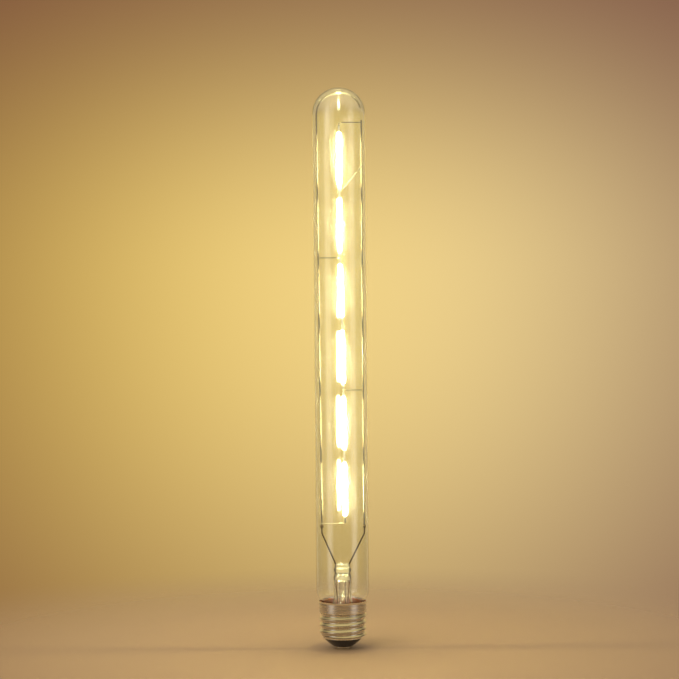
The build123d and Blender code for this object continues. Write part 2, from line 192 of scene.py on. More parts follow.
# Sizes of the cement. Its top drop, crown and waves, of (scale, height), are in millimetres
cement_columns = 160
cement_rows = 14
cement_sink = 0.1 * MM
cement_lump = 0.02 * MM
lump_scale = 30
lump_level_scale = 2500
cement_top_drop = 0.1
crown_rise = 0.1
crown_lump = 0.2
crown_lump_scale = 31
cement_waves = ((9, 0.35), (23, 0.2))


# Node helpers
def paint(red, green, blue):
    """A colour on the 0 to 255 scale as the linear values that shaders take."""
    shares = []
    for level in (red, green, blue):
        share = level / 255
        shares.append(share / 12.92 if share <= 0.04045 else ((share + 0.055) / 1.055) ** 2.4)
    return (*shares, 1.0)


def put(tree, socket, value):
    """Links a socket to another or to a node's first output, or sets its plain value."""
    if isinstance(value, bpy.types.Node):
        value = value.outputs[0]
    if isinstance(value, bpy.types.NodeSocket):
        tree.links.new(value, socket)
    else:
        socket.default_value = value


def fill(tree, node, *values, **inputs):
    """Sets or links inputs of a node: the first ones in order, and others by name with _ for a space."""
    for index, value in enumerate(values):
        put(tree, node.inputs[index], value)
    for name, value in inputs.items():
        put(tree, node.inputs[name.replace("_", " ").title()], value)
    return node


def add(tree, kind, *values, **inputs):
    """A new node with some of its inputs set or linked."""
    return fill(tree, tree.nodes.new(kind), *values, **inputs)


def reckon(operation, tree, first, second=0.0, clamp=False):
    """One sum in a node tree."""
    node = add(tree, "ShaderNodeMath", first, second)
    node.operation = operation
    node.use_clamp = clamp
    return node.outputs[0]


plus = partial(reckon, "ADD")
minus = partial(reckon, "SUBTRACT")
times = partial(reckon, "MULTIPLY")
over = partial(reckon, "DIVIDE")
larger = partial(reckon, "MAXIMUM")
size_of = partial(reckon, "ABSOLUTE")


def spread(tree, value, low, high, to_low, to_high, smooth=False):
    """Maps a value from one range to another, held at the ends."""
    node = add(tree, "ShaderNodeMapRange", value, low, high, to_low, to_high)
    node.interpolation_type = "SMOOTHSTEP" if smooth else "LINEAR"
    return node.outputs["Result"]


def ramp(tree, value, low, high):
    """Rises smoothly from 0 to 1 between two levels."""
    return spread(tree, value, low, high, 0.0, 1.0, smooth=True)


def fall(tree, value, low, high):
    """Falls smoothly from 1 to 0 between two levels."""
    return spread(tree, value, low, high, 1.0, 0.0, smooth=True)


def between(tree, share, first, second):
    """The first number where the share is 0, and the second where it is 1."""
    return spread(tree, share, 0.0, 1.0, first, second)


def blend_colours(tree, share, first, second):
    """The first colour where the share is 0, and the second where it is 1."""
    node = tree.nodes.new("ShaderNodeMix")
    node.data_type = "RGBA"
    put(tree, node.inputs[0], share)
    put(tree, node.inputs[6], first)
    put(tree, node.inputs[7], second)
    return node.outputs[2]


def place_on_piece(tree):
    """The place of a point on its piece."""
    return tree.nodes.new("ShaderNodeTexCoord").outputs["Object"]


def mark_on_piece(tree, name):
    """A value that the mesh of a piece carries at each point."""
    node = tree.nodes.new("ShaderNodeAttribute")
    node.attribute_name = name
    return node.outputs["Fac"]


def node_of(tree, kind):
    """The one node of a kind in a tree."""
    return next(node for node in tree.nodes if node.type == kind)


def node_group(name, kind, inputs, outputs):
    """A new node group with its named sockets, and its two end nodes."""
    group = bpy.data.node_groups.new(name, kind)
    for way, sockets in (("INPUT", inputs), ("OUTPUT", outputs)):
        for label, holds, *value in sockets:
            socket = group.interface.new_socket(name=label, in_out=way, socket_type="NodeSocket" + holds)
            if value:
                socket.default_value = value[0]
    return group, group.nodes.new("NodeGroupInput"), group.nodes.new("NodeGroupOutput")


def grain_noise(tree, grain, detail=4.0):
    """Noise over the piece, with its own scale along each axis."""
    stretched = add(tree, "ShaderNodeVectorMath", place_on_piece(tree), grain)
    stretched.operation = "MULTIPLY"
    return add(tree, "ShaderNodeTexNoise", vector=stretched, scale=1.0, detail=detail).outputs[0]


# Shader groups
def make_uneven_surface():
    """Colour, gloss and height that drift over a surface."""
    group, start, end = node_group(
        "uneven_surface",
        "ShaderNodeTree",
        (
            ("Grain", "Vector", (400.0, 400.0, 400.0)),
            ("Colour One", "Color", (0.5, 0.5, 0.5, 1.0)),
            ("Colour Two", "Color", (0.5, 0.5, 0.5, 1.0)),
            ("Smoothest", "Float", 0.3),
            ("Roughest", "Float", 0.5),
        ),
        (("Colour", "Color"), ("Roughness", "Float"), ("Height", "Float")),
    )
    colour_span = (0.35, 0.65)
    gloss_span = (0.3, 0.7)
    drift = grain_noise(group, start.outputs["Grain"])
    share = spread(group, drift, *colour_span, 0.0, 1.0)
    colour = blend_colours(group, share, start.outputs["Colour One"], start.outputs["Colour Two"])
    gloss = spread(group, drift, *gloss_span, start.outputs["Smoothest"], start.outputs["Roughest"])
    fill(group, end, colour=colour, roughness=gloss, height=drift)
    return group


def make_glass_haze():
    """Fine specks of haze on clear glass, and its slow blown waves."""
    speck_scale = 18000.0
    speck_edge = 0.14
    group, start, end = node_group(
        "glass_haze",
        "ShaderNodeTree",
        (
            ("Clear Share", "Float", 0.7),
            ("Haze", "Float", 0.75),
            ("Waves", "Vector", (90.0, 90.0, 14.0)),
        ),
        (("Roughness", "Float"), ("Height", "Float")),
    )
    specks = grain_noise(group, (speck_scale, speck_scale, speck_scale), detail=0.0)
    edge = plus(group, start.outputs["Clear Share"], speck_edge)
    rough = spread(group, specks, start.outputs["Clear Share"], edge, 0.0, start.outputs["Haze"])
    fill(group, end, roughness=rough, height=grain_noise(group, start.outputs["Waves"], detail=1.0))
    return group


uneven_surface = make_uneven_surface()
glass_haze = make_glass_haze()


# Materials
def new_material(name):
    """A material with one plain shader, as the material, its tree, the shader and the output."""
    material = bpy.data.materials.new(name)
    material.use_nodes = True
    tree = material.node_tree
    tree.nodes.clear()
    shader = add(tree, "ShaderNodeBsdfPrincipled")
    return material, tree, shader, add(tree, "ShaderNodeOutputMaterial", surface=shader)


def place_group(tree, group, **settings):
    """Places a shader group in a material with its own values."""
    node = tree.nodes.new("ShaderNodeGroup")
    node.node_tree = group
    return fill(tree, node, **settings)


def bump(tree, shader, height, distance):
    """Raises a surface a little by a height that changes over it."""
    fill(tree, shader, normal=add(tree, "ShaderNodeBump", height=height, distance=distance))


def let_through(tree, share, shader, output):
    """Makes a surface clear where the share is 1."""
    clear = add(tree, "ShaderNodeBsdfTransparent")
    fill(tree, output, surface=add(tree, "ShaderNodeMixShader", share, shader, clear))


def finish(name, one, two, grain, gloss, metallic=0.0, relief=0.0, coat=0.0):
    """A finish whose colour and gloss drift over the surface, between two of each."""
    material, tree, shader, _ = new_material(name)
    drift = place_group(tree, uneven_surface, grain=grain, colour_one=one, colour_two=two)
    fill(tree, drift, smoothest=gloss[0], roughest=gloss[1])
    fill(tree, shader, base_color=drift.outputs["Colour"], roughness=drift.outputs["Roughness"])
    fill(tree, shader, metallic=metallic, coat_weight=coat)
    if relief:
        bump(tree, shader, drift.outputs["Height"], relief)
    return material


def metal(name, one, two, grain, gloss, relief=0.0):
    """Bare metal, with its two colours as linear shares."""
    return finish(name, (*one, 1.0), (*two, 1.0), grain, gloss, 1.0, relief)


def moulding(name, one, two, grain, gloss, relief, coat=0.0):
    """A moulded, baked or lacquered finish, with its two colours on the 0 to 255 scale."""
    return finish(name, paint(*one), paint(*two), (grain, grain, grain), gloss, 0.0, relief, coat)


def paint_crook_shade_and_highlight(material, level, shaded_colour, painted_highlight, gloss):
    """Paints a finish darker and makes it satin above a level, as painted shade, and paints a bright
    highlight where the piece is marked for it.
    """
    tree = material.node_tree
    place = add(tree, "ShaderNodeSeparateXYZ", place_on_piece(tree))
    share = ramp(tree, place.outputs["Z"], level, level + painted_shade_run)
    # Where the crook gets its painted highlight of the filaments' light
    highlight_share = mark_on_piece(tree, "painted_highlight")
    drift = node_of(tree, "GROUP")
    for name in ("Colour One", "Colour Two"):
        drawn = tuple(drift.inputs[name].default_value)
        colour = blend_colours(tree, share, drawn, shaded_colour)
        put(tree, drift.inputs[name], blend_colours(tree, highlight_share, colour, painted_highlight))
    for name, satin in zip(("Smoothest", "Roughest"), gloss):
        polished = drift.inputs[name].default_value
        put(tree, drift.inputs[name], between(tree, share, polished, satin))


def clear_glass(name, clear_share, waves, depth, pinch_clear_share=None):
    """Clear glass that lets light through, with a trace of haze, and more where it was pinched."""
    material, tree, shader, output = new_material(name)
    if pinch_clear_share is not None:
        clear_share = between(tree, mark_on_piece(tree, "pinch"), clear_share, pinch_clear_share)
    haze = place_group(tree, glass_haze, clear_share=clear_share, waves=waves)
    fill(tree, shader, base_color=glass_colour, roughness=haze.outputs["Roughness"], transmission_weight=1.0)
    shader.inputs["IOR"].default_value = refractive_index
    bump(tree, shader, haze.outputs["Height"], depth)
    let_through(tree, add(tree, "ShaderNodeLightPath").outputs["Is Shadow Ray"], shader, output)
    return material


def glowing_coat(name):
    """Soft amber phosphor coat that glows along its length and less at its ends."""
    material = finish(name, paint(238, 190, 70), paint(226, 170, 48), (900.0, 900.0, 500.0), (0.45, 0.6))
    tree = material.node_tree
    shader = node_of(tree, "BSDF_PRINCIPLED")
    light = blend_colours(tree, mark_on_piece(tree, "glow"), unlit_colour, lit_colour)
    fill(tree, shader, emission_color=light, emission_strength=glow_strength)
    return material


# Each finish has two colours, the scale of its grain, and its smoothest and roughest gloss.
# The last numbers of some are the depth of their relief and the weight of a clear coat.
drawn_grain = (2500, 2500, 180)
envelope_glass = clear_glass("envelope_glass", 0.695, (60, 60, 8), 0.006 * MM)
pressed_glass = clear_glass("pressed_glass", 0.7, (260, 260, 320), 0.14 * MM, 0.54)
lit_coat = glowing_coat("lit_coat")
nickel_wire = metal("nickel_wire", (0.42, 0.36, 0.27), (0.32, 0.26, 0.18), drawn_grain, (0.1, 0.18))
# Painted shade darkens the crook above its level, and a painted highlight brightens the inner side that faces
# the filaments
paint_crook_shade_and_highlight(nickel_wire, painted_shade_level, (0.24, 0.19, 0.12, 1.0), (1.0, 0.93, 0.74, 1.0), (0.3, 0.42))
satin_wire = metal("satin_wire", (0.72, 0.63, 0.47), (0.56, 0.48, 0.34), drawn_grain, (0.28, 0.4))
dull_wire = metal("dull_wire", (0.42, 0.36, 0.27), (0.32, 0.26, 0.18), drawn_grain, (0.28, 0.4))
lead_wire = metal("lead_wire", (0.18, 0.12, 0.065), (0.11, 0.07, 0.035), drawn_grain, (0.3, 0.45))
strip_metal = finish(
    "strip_metal", (0.93, 0.86, 0.8, 1), (0.86, 0.78, 0.71, 1), (1200, 1200, 300), (0.4, 0.58), 0.3
)
copper = metal("copper", (0.72, 0.36, 0.2), (0.52, 0.23, 0.12), (1500, 1500, 400), (0.25, 0.42))
sealed_lead = metal("sealed_lead", (0.3, 0.14, 0.08), (0.2, 0.09, 0.05), (1500, 1500, 300), (0.35, 0.5))
plated_brass = metal("plated_brass", (0.76, 0.73, 0.68), (0.68, 0.64, 0.57), (60, 60, 900), (0.2, 0.32))
plated_rivet = metal(
    "plated_rivet", (0.76, 0.7, 0.58), (0.6, 0.54, 0.42), (700, 700, 700), (0.22, 0.4), 0.02 * MM
)
black_glass = finish(
    "black_glass",
    (0.012, 0.012, 0.015, 1),
    (0.02, 0.02, 0.024, 1),
    (300, 300, 300),
    (0.08, 0.2),
    relief=0.03 * MM,
    coat=0.3,
)
baked_cement = moulding("baked_cement", (236, 124, 46), (186, 84, 26), 900, (0.7, 0.9), 0.25 * MM)
white_moulding = moulding(
    "white_moulding", (226, 222, 210), (212, 207, 194), 300, (0.4, 0.55), 0.02 * MM
)
board_green = moulding("board_green", (36, 96, 58), (26, 78, 46), 500, (0.28, 0.42), 0.01 * MM, 0.3)
black_plastic = moulding("black_plastic", (30, 30, 32), (44, 44, 46), 1500, (0.45, 0.65), 0.01 * MM)
sleeve_plastic = moulding("sleeve_plastic", (30, 34, 52), (22, 26, 42), 400, (0.2, 0.35), 0.01 * MM, 0.2)
lacquer = moulding("lacquer", (128, 160, 170), (108, 140, 152), 700, (0.3, 0.45), 0.01 * MM, 0.3)
wire_cover = moulding("wire_cover", (190, 44, 32), (164, 32, 24), 600, (0.35, 0.5), 0.01 * MM)


# Pieces
def dress(mesh, material):
    """Gives a mesh its one material."""
    mesh.materials.clear()
    mesh.materials.append(material)


def keep_piece(name, mesh, material, slot, *stands_for):
    """Sets a finished mesh in the lamp in place of the solids it stands for."""
    mesh.name = name
    dress(mesh, material)
    mesh.shade_smooth()
    mesh.set_sharp_from_angle(angle=sharp_angle)
    piece = bpy.data.objects.new(name, mesh)
    scene.collection.objects.link(piece)
    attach(piece, "root")
    if stands_for:
        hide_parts(*stands_for)
    return piece


def mark_points(mesh, name, values):
    """Writes a value for each point of a mesh."""
    attribute = mesh.attributes.new(name, "FLOAT", "POINT")
    attribute.data.foreach_set("value", values)


def held(value):
    """A number held between 0 and 1."""
    return min(1.0, max(0.0, value))


def section_shares(sides, flatness=1.0):
    """Points round a section as shares of its half width and depth, with flatter sides under 1."""
    shares = []
    for step in range(sides):
        turn = 2 * math.pi * step / sides
        pair = (math.cos(turn), math.sin(turn))
        shares.append([math.copysign(abs(share) ** flatness, share) for share in pair])
    return shares


def bridge(body, lower, upper):
    """Joins two rings of points with faces. A ring may be one point."""
    sides = max(len(lower), len(upper))
    if sides == 1:
        return
    for step in range(sides):
        after = (step + 1) % sides
        if len(lower) == 1:
            body.faces.new((lower[0], upper[step], upper[after]))
        elif len(upper) == 1:
            body.faces.new((lower[step], lower[after], upper[0]))
        else:
            body.faces.new((lower[step], lower[after], upper[after], upper[step]))


def turned_out(body, mesh):
    """Writes a closed body to a mesh, with its faces turned outwards."""
    bmesh.ops.recalc_face_normals(body, faces=body.faces)
    body.to_mesh(mesh)
    body.free()
    return mesh


def ring_body(outline, sides):
    """A closed mesh through level rings of (half width, half depth, level).

    A ring of no width is a point, and a fourth number under 1 flattens the sides of its ring.
    """
    body = bmesh.new()
    rings = []
    for half_width, half_depth, level, *flatness in outline:
        if half_width == 0:
            rings.append([body.verts.new((0, 0, level))])
            continue
        shares = section_shares(sides, *flatness)
        rings.append([body.verts.new((half_width * x, half_depth * y, level)) for x, y in shares])
    for lower, upper in zip(rings, rings[1:] + rings[:1]):
        bridge(body, lower, upper)
    return turned_out(body, bpy.data.meshes.new("ring_body"))


def round_rings(points):
    """Round rings through points of (radius, level)."""
    return [(radius, radius, level) for radius, level in points]


# Glass envelope
def shoulder_radius_at(level, low_radius, high_radius):
    """The drawn-in shoulder: two equal arcs from the neck to the tube."""
    height = shoulder_top - shoulder_bottom
    step = high_radius - low_radius
    bend = (height**2 + step**2) / (4 * step)
    rise = min(max(level - shoulder_bottom, 0), height)
    if rise <= height / 2:
        return low_radius + bend - math.sqrt(bend**2 - rise**2)
    return high_radius - bend + math.sqrt(bend**2 - (height - rise) ** 2)


def wall_line(radius, neck, dome_centre):
    """One wall of the envelope, from the neck to the tip."""
    points = [(neck, neck_bottom), (neck, (neck_bottom + shoulder_bottom) / 2)]
    for step in range(shoulder_steps + 1):
        level = shoulder_bottom + (shoulder_top - shoulder_bottom) * step / shoulder_steps
        points.append((shoulder_radius_at(level, neck, radius), level))
    for step in range(1, tube_steps + 1):
        points.append((radius, shoulder_top + (dome_centre - shoulder_top) * step / tube_steps))
    for step in range(1, dome_steps):
        turn = math.pi / 2 * step / dome_steps
        points.append((radius * math.cos(turn), dome_centre + radius * math.sin(turn)))
    points.append((0, dome_centre + radius))
    return points


outside_wall = wall_line(tube_radius, neck_radius, dome_tip - tube_radius)
inside_wall = wall_line(tube_radius - tube_wall, neck_radius - tube_wall, inner_dome_centre)
envelope_mesh = ring_body(round_rings(outside_wall + inside_wall[::-1]), glass_sides)
keep_piece("blown_envelope", envelope_mesh, envelope_glass, "clear_glass", "glass_envelope")

# Each row of the press, in millimetres: drop below its top, width, depth.
# The last number is 1 for a round row, and less for flat sides.
press_shape = (
    (9.9, 10.0, 10.0, 1.0),
    (8.4, 10.0, 9.4, 0.95),
    (7.3, 9.8, 7.9, 0.8),
    (6.3, 9.2, 5.9, 0.65),
    (5.7, 8.7, 4.7, 0.6),
    (5.1, 8.7, 4.4, 0.6),
    (4.4, 9.7, 5.3, 0.6),
    (3.5, 10.0, 5.4, 0.6),
    (2.8, 9.7, 4.9, 0.6),
    (2.2, 8.8, 3.8, 0.6),
    (1.7, 8.2, 3.3, 0.6),
    (1.2, 8.6, 3.9, 0.6),
    (0.7, 8.5, 3.8, 0.6),
    (0.3, 8.0, 3.0, 0.65),
    (0.1, 7.3, 2.2, 0.7),
)


# Glass stem: a flared tube with a pinched press at the top
def flare_line(radius, height):
    """The flare, from its wide edge up to the tube of the stem."""
    flare_radius = neck_radius - tube_wall - hairline
    flare_top = neck_bottom + flare_height
    points = []
    for step in range(flare_steps + 1):
        turn = math.pi / 2 * step / flare_steps
        across = flare_radius - (flare_radius - radius) * math.sin(turn)
        points.append((across, flare_top - height * math.cos(turn)))
    return points


def smooth_between(values, share):
    """A smooth curve through four even values, between the middle two."""
    a, b, c, d = values
    return b + 0.5 * share * (c - a + share * (2 * a - 5 * b + 4 * c - d + share * (3 * (b - c) + d - a)))


def press_rings():
    """The rings of the press, from the round tube up to its flat crown."""
    rings = []
    last = len(press_shape) - 1
    for index in range(last):
        around = [press_shape[min(max(index + shift, 0), last)] for shift in (-1, 0, 1, 2)]
        drops, *columns = zip(*around)
        for step in range(press_steps):
            share = step / press_steps
            drop = drops[1] + (drops[2] - drops[1]) * share
            width, depth, flatness = (smooth_between(values, share) for values in columns)
            rings.append((width / 2 * MM, depth / 2 * MM, press_top - drop * MM, flatness))
    rings.append((press_crown_half_width, press_crown_half_depth, press_top, press_crown_flatness))
    rings.append((0, 0, press_top))
    return rings


stem_outside = round_rings(flare_line(stem_radius, flare_height - flare_edge)) + press_rings()
cavity_points = flare_line(cavity_radius, flare_height) + [
    (cavity_radius, cavity_top - cavity_round),
    (cavity_radius * cavity_end_share, cavity_top),
    (0, cavity_top),
]
stem_mesh = ring_body(stem_outside + round_rings(cavity_points)[::-1], stem_sides)
pinch_shares = [held((vertex.co.z - press_bottom) / pinch_run) for vertex in stem_mesh.vertices]
mark_points(stem_mesh, "pinch", pinch_shares)
keep_piece("pressed_stem", stem_mesh, pressed_glass, "stem_glass", "stem")


def exhaust_line(radius):
    """One wall of the exhaust tube, from its top to its melted tip."""
    points = [(radius, cavity_top - hairline)]
    for step in range(exhaust_tip_steps):
        turn = math.pi / 2 * step / exhaust_tip_steps
        points.append((radius * math.cos(turn), exhaust_tip_centre - radius * math.sin(turn)))
    points.append((0, exhaust_tip_centre - radius))
    return points


exhaust_outline = exhaust_line(exhaust_radius) + exhaust_line(exhaust_radius - exhaust_wall)[::-1]
exhaust_mesh = ring_body(round_rings(exhaust_outline), exhaust_sides)
keep_piece("drawn_exhaust_tube", exhaust_mesh, pressed_glass, "stem_glass", "exhaust_tube")


# Shape trees
def shape_tree(name, *inputs):
    """A new shape tree with its named inputs, and its two end nodes."""
    geometry = ("Geometry", "Geometry")
    return node_group(name, "GeometryNodeTree", (geometry, *inputs, ("Material", "Material")), (geometry,))


def close_tree(tree, shape, start, end):
    """The last steps of every tree: real geometry, smooth faces and its material."""
    real = add(tree, "GeometryNodeRealizeInstances", shape)
    smooth = add(tree, "GeometryNodeSetShadeSmooth", real)
    fill(tree, end, add(tree, "GeometryNodeSetMaterial", smooth, material=start.outputs["Material"]))


def run_tree(tree, base, settings):
    """Runs a tree on a mesh and gives back the plain mesh that it makes."""
    carrier = bpy.data.objects.new("carrier", base)
    scene.collection.objects.link(carrier)
    modifier = carrier.modifiers.new("shape", "NODES")
    modifier.node_group = tree
    for item in tree.interface.items_tree:
        if item.item_type == "SOCKET" and item.in_out == "INPUT" and item.name in settings:
            modifier[item.identifier] = settings[item.name]
    depsgraph = bpy.context.evaluated_depsgraph_get()
    made = bpy.data.meshes.new_from_object(
        carrier.evaluated_get(depsgraph), preserve_all_data_layers=True, depsgraph=depsgraph
    )
    carrier.modifiers.remove(modifier)
    bpy.data.objects.remove(carrier)
    body = bmesh.new()
    body.from_mesh(made)
    return turned_out(body, made)


def make_drawn_wire():
    """Round wire along a path, thicker where the path says so."""
    tree, start, end = shape_tree("drawn_wire", ("Diameter", "Float"), ("Sides", "Int"))
    path = add(tree, "GeometryNodeMeshToCurve", start.outputs["Geometry"])
    girth = add(tree, "GeometryNodeInputNamedAttribute", name="girth")
    girth.data_type = "FLOAT"
    radius = times(tree, start.outputs["Diameter"], 0.5)
    section = add(
        tree, "GeometryNodeCurvePrimitiveCircle", resolution=start.outputs["Sides"], radius=radius
    )
    body = add(tree, "GeometryNodeCurveToMesh", path, section, scale=girth, fill_caps=True)
    close_tree(tree, body, start, end)
    return tree


drawn_wire = make_drawn_wire()


def path_mesh(points, girths=None):
    """A path as loose edges, with its girth at each point."""
    mesh = bpy.data.meshes.new("path")
    edges = [(index, index + 1) for index in range(len(points) - 1)]
    mesh.from_pydata([tuple(point) for point in points], edges, [])
    mark_points(mesh, "girth", girths or [1.0] * len(points))
    return mesh


def wire_piece(name, points, diameter, material, slot, stands_for, girths=None, sides=wire_sides):
    """A piece of drawn wire along a path."""
    settings = {"Diameter": diameter, "Sides": sides, "Material": material}
    mesh = run_tree(drawn_wire, path_mesh(points, girths), settings)
    return keep_piece(name, mesh, material, slot, stands_for)


def rounded_path(corners, bend_radius, depth=0.0):
    """A path through corners in the plane at a depth, with each inner corner rounded."""
    places = [Vector((x, depth, z)) for x, z in corners]
    path = [places[0]]
    for before, corner, after in zip(places, places[1:], places[2:]):
        into = (corner - before).normalized()
        out = (after - corner).normalized()
        turn = into.angle(out)
        reach = bend_radius * math.tan(turn / 2)
        middle = corner + (out - into).normalized() * (bend_radius / math.cos(turn / 2))
        spoke = corner - into * reach - middle
        axis = into.cross(out).normalized()
        for step in range(bend_steps + 1):
            path.append(middle + Matrix.Rotation(turn * step / bend_steps, 3, axis) @ spoke)
    path.append(places[-1])
    return path


def divided(path, spacing):
    """The same path with points no further apart than the spacing."""
    fine = [path[0]]
    for first, second in zip(path, path[1:]):
        count = max(1, math.ceil((second - first).length / spacing))
        for step in range(1, count + 1):
            fine.append(first.lerp(second, step / count))
    return fine


def bend_on(path, radius, angle):
    """Carries a path on in a bend to the right, in the XZ plane."""
    along = (path[-1] - path[-2]).normalized()
    inward = Vector((along.z, 0, -along.x))
    middle = path[-1] + inward * radius
    start = path[-1].copy()
    steps = max(fewest_bend_steps, round(math.degrees(angle) / degrees_a_step))
    for step in range(1, steps + 1):
        turn = Matrix.Rotation(angle * step / steps, 3, "Y")
        path.append(middle + turn @ (start - middle))


# Screw shell, rolled from thin sheet
def make_rolled_shell(size_names):
    """A sheet rolled up the outside of the shell, over its rim and down the inside.

    Each level is a circle. Its middle climbs a tight helix along the thread.
    """
    inputs = [(name, "Float") for name in size_names]
    tree, start, end = shape_tree("rolled_shell", *inputs, ("Around", "Int"), ("Rows", "Int"))
    size = start.outputs
    round_trip = times(tree, size["Rows"], 2.0)
    sheet = add(tree, "GeometryNodeMeshGrid", size_x=1.0, size_y=1.0)
    fill(tree, sheet, vertices_x=plus(tree, size["Around"], 1.0), vertices_y=plus(tree, round_trip, 1.0))
    place = add(tree, "ShaderNodeSeparateXYZ", add(tree, "GeometryNodeInputPosition"))
    turn = times(tree, plus(tree, place.outputs["X"], 0.5), 2 * math.pi)
    row = times(tree, plus(tree, place.outputs["Y"], 0.5), round_trip)
    row = reckon("MODULO", tree, reckon("ROUND", tree, row), round_trip)
    last_row = minus(tree, size["Rows"], 1.0)
    inside = reckon("GREATER_THAN", tree, row, plus(tree, last_row, 0.5))
    way_back = minus(tree, minus(tree, round_trip, 1.0), plus(tree, row, row))
    share = over(tree, plus(tree, row, times(tree, inside, way_back)), last_row)
    level = between(tree, share, size["Bottom"], size["Top"])
    run_in = ramp(tree, level, size["Collar Top"], size["Thread Bottom"])
    run_out = ramp(tree, level, size["Thread Top"], size["Skirt Bottom"])
    flare = ramp(tree, level, size["Rim Bottom"], size["Top"])
    widening = minus(tree, size["Thread Radius"], size["Collar Radius"])
    radius = plus(tree, size["Collar Radius"], times(tree, widening, run_in))
    widening = minus(tree, size["Skirt Radius"], size["Thread Radius"])
    radius = plus(tree, radius, times(tree, widening, run_out))
    radius = plus(tree, radius, times(tree, size["Rim Flare"], flare))
    radius = minus(tree, radius, times(tree, inside, size["Sheet"]))
    throw = times(tree, size["Throw"], minus(tree, run_in, run_out))
    height = minus(tree, size["Thread Top"], size["Thread Bottom"])
    climbed = spread(tree, level, size["Thread Bottom"], size["Thread Top"], 0.0, height)
    climb = times(tree, over(tree, climbed, size["Pitch"]), 2 * math.pi)
    point = add(tree, "ShaderNodeCombineXYZ", z=level)
    for axis, wave in (("X", "COSINE"), ("Y", "SINE")):
        middle = times(tree, throw, reckon(wave, tree, climb))
        rim = times(tree, radius, reckon(wave, tree, turn))
        put(tree, point.inputs[axis], plus(tree, middle, rim))
    rolled = add(tree, "GeometryNodeSetPosition", sheet, position=point)
    close_tree(tree, add(tree, "GeometryNodeMergeByDistance", rolled, distance=seam_width), start, end)
    return tree


shell_sizes = {
    "Sheet": 0.3 * MM,
    "Bottom": shell_low.z,
    "Collar Top": collar_top,
    "Thread Bottom": thread_bottom,
    "Thread Top": thread_bottom + thread_turns * thread_pitch,
    "Skirt Bottom": cap_top - 6.2 * MM,
    "Rim Bottom": cap_top - 0.9 * MM,
    "Top": cap_top,
    "Collar Radius": 11.4 * MM,
    "Thread Radius": 12.675 * MM,
    "Skirt Radius": 13.3 * MM,
    "Rim Flare": 0.3 * MM,
    "Throw": 0.525 * MM,
    "Pitch": thread_pitch,
}
shell_mesh = run_tree(
    make_rolled_shell(shell_sizes),
    bpy.data.meshes.new("blank"),
    {**shell_sizes, "Around": 96, "Rows": 120, "Material": plated_brass},
)
keep_piece("rolled_screw_shell", shell_mesh, plated_brass, "shell_metal", "screw_shell")


# Support wires
def support_piece(name, path):
    """One of the two long wires that hold the chain of filaments."""
    path = divided(path, support_spacing)
    return wire_piece(name, path, support_diameter, nickel_wire, "support_wire", f"{name}_wire")


def x_along(line, level):
    """Where a straight wire between two points of (x, level) stands at a level."""
    (low_x, low), (high_x, high) = line
    share = (level - low) / (high - low)
    return low_x + (high_x - low_x) * share


def painted_highlight_share(vertex):
    """How much painted highlight a point gets: all on the inner side of the crook, which faces the filaments,
    along its middle.
    """
    spoke = Vector((vertex.co.x, 0, vertex.co.z - inner_dome_centre))
    around = math.atan2(spoke.x, spoke.z)
    within = min(around - highlight_start, highlight_end - around) / highlight_fade
    inner_side = -highlight_sharpness * vertex.normal.dot(spoke.normalized())
    return held(within) * held(inner_side)


left_line = ((left_foot_x, support_foot), (-support_top_x, crook_start))
right_line = ((right_foot_x, support_foot), (support_top_x, right_support_top))
left_x = partial(x_along, left_line)
right_x = partial(x_along, right_line)
left_path = [Vector((x, 0, level)) for x, level in left_line]
right_path = [Vector((x, 0, level)) for x, level in right_line]
bend_on(left_path, crook_bend_radius, crook_bend)
bend_on(left_path, crown_radius, math.pi / 2 - crook_bend)
bend_on(left_path, crook_tip_radius, crook_tip_turn)
left_mesh = support_piece("left_support", left_path).data
# Marks the painted highlight on the inner side of the crook
mark_points(left_mesh, "painted_highlight", [painted_highlight_share(vertex) for vertex in left_mesh.vertices])
support_piece("right_support", right_path)


# Lead wires, which swell into a weld bead at the top
def bead_girth(distance):
    """How much thicker the wire is at a distance from the middle of its bead."""
    if abs(distance) >= bead_radius:
        return 1.0
    return max(1.0, math.sqrt(bead_radius**2 - distance**2) / (lead_diameter / 2))


def lead_piece(name, side, foot_x):
    """A lead from the press to the foot of its support wire."""
    path = rounded_path(
        [
            (side * lead_spread, cavity_top),
            (side * lead_spread, lead_rise),
            (foot_x, lead_bend_level),
            (foot_x, lead_straight_top),
        ],
        lead_bend_radius,
    )
    path = divided(path, wire_spacing)
    top = Vector((foot_x, 0, bead_level))
    for step in range(1, 2 * bead_steps + 1):
        path.append(top + Vector((0, 0, (step / bead_steps - 1) * bead_reach)))
    girths = [bead_girth(point.z - bead_level) for point in path]
    girths[-1] = bead_end_girth
    wire_piece(name, path, lead_diameter, lead_wire, "support_wire", f"{name}_wire", girths)


lead_piece("left_lead", -1, left_foot_x)
lead_piece("right_lead", 1, right_foot_x)


# The chain of filaments
def joint(index):
    """The middle of the overlap above a filament, or below the last one."""
    swaying = max(index - straight_filaments, 0) / (filament_count - straight_filaments)
    level = chain_top - terminal_overlap / 2 - index * filament_pitch
    return Vector((chain_sway * math.sqrt(swaying), 0, level))


def layer(index):
    """The side of the chain that a filament lies on: 1 at the back, -1 in front."""
    return -1 if index % 2 else 1


